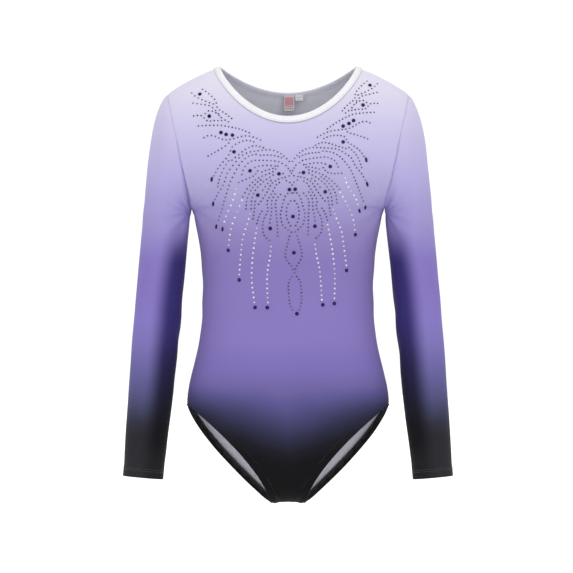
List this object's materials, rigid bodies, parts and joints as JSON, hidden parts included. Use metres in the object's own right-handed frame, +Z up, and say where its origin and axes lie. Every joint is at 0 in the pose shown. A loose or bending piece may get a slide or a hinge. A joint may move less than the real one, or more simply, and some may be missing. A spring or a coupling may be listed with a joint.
{
  "type": "gymnastics leotard",
  "caption": "Long-sleeved scoop-neck gymnastics leotard with bound neckline, high-cut elasticated legs and a crystal feather design on the chest.",
  "frame": {"origin": "midway between the high points of the two shoulders, where shoulders or a hanger carry the garment", "axes": "+Z up, -Y is the front of the garment, +X is the wearer's left"},
  "size_m": [0.419, 0.1754, 0.5568],
  "materials": {
    "printed_knit": "satin knit, printed from pale lilac through purple to near black",
    "dark_knit": "satin knit, near black",
    "white_binding": "satin knit, white",
    "elastic": "matte woven elastic",
    "dark_elastic": "matte woven elastic",
    "white_thread": "spun polyester thread",
    "dark_thread": "spun polyester thread",
    "pale_overlock": "overlocked knit edge",
    "overlock": "overlocked knit edge",
    "label_pink": "woven satin label",
    "label_white": "woven satin label",
    "dark_crystal": "foiled faceted crystal",
    "clear_crystal": "foiled faceted crystal",
    "purple_stone": "foiled faceted crystal"
  },
  "bodies": {
    "torso": {"front_panel": "printed_knit", "back_panel": "printed_knit", "neck_binding": "white_binding", "neck_elastic": "elastic", "neck_stitching": "white_thread", "left_leg_elastic": "dark_elastic", "right_leg_elastic": "dark_elastic", "left_leg_stitching": "dark_thread", "right_leg_stitching": "dark_thread", "left_shoulder_seam": "pale_overlock", "right_shoulder_seam": "pale_overlock", "left_side_seam": "overlock", "right_side_seam": "overlock", "crotch_seam": "dark_thread", "gusset_lining": "dark_knit", "dark_crystals": "dark_crystal", "clear_crystals": "clear_crystal", "round_stones": "purple_stone", "navette_stones": "purple_stone"},
    "left_arm": {"left_sleeve": "printed_knit", "left_cuff_hem": "dark_knit", "left_armhole_seam": "pale_overlock", "left_sleeve_seam": "overlock", "left_cuff_stitching": "dark_thread"},
    "right_arm": {"right_sleeve": "printed_knit", "right_cuff_hem": "dark_knit", "right_armhole_seam": "pale_overlock", "right_sleeve_seam": "overlock", "right_cuff_stitching": "dark_thread"},
    "label_flap": {"neck_label": "label_pink"},
    "tab_flap": {"size_tab": "label_white"}
  },
  "joints": [
    {"name": "left_sleeve_raise", "type": "hinge", "parent": "torso", "child": "left_arm", "pos_m": [0.138, 0, -0.105], "axis": [0, -1, 0], "range_deg": [0, 80]},
    {"name": "right_sleeve_raise", "type": "hinge", "parent": "torso", "child": "right_arm", "pos_m": [-0.138, 0, -0.105], "axis": [0, 1, 0], "range_deg": [0, 80]},
    {"name": "label_swing", "type": "hinge", "parent": "torso", "child": "label_flap", "pos_m": [0.0015, 0.0381, -0.0338], "axis": [-1, 0, 0], "range_deg": [0, 150]},
    {"name": "tab_swing", "type": "hinge", "parent": "torso", "child": "tab_flap", "pos_m": [0.0144, 0.0381, -0.0316], "axis": [-1, 0, 0], "range_deg": [0, 150]}
  ]
}
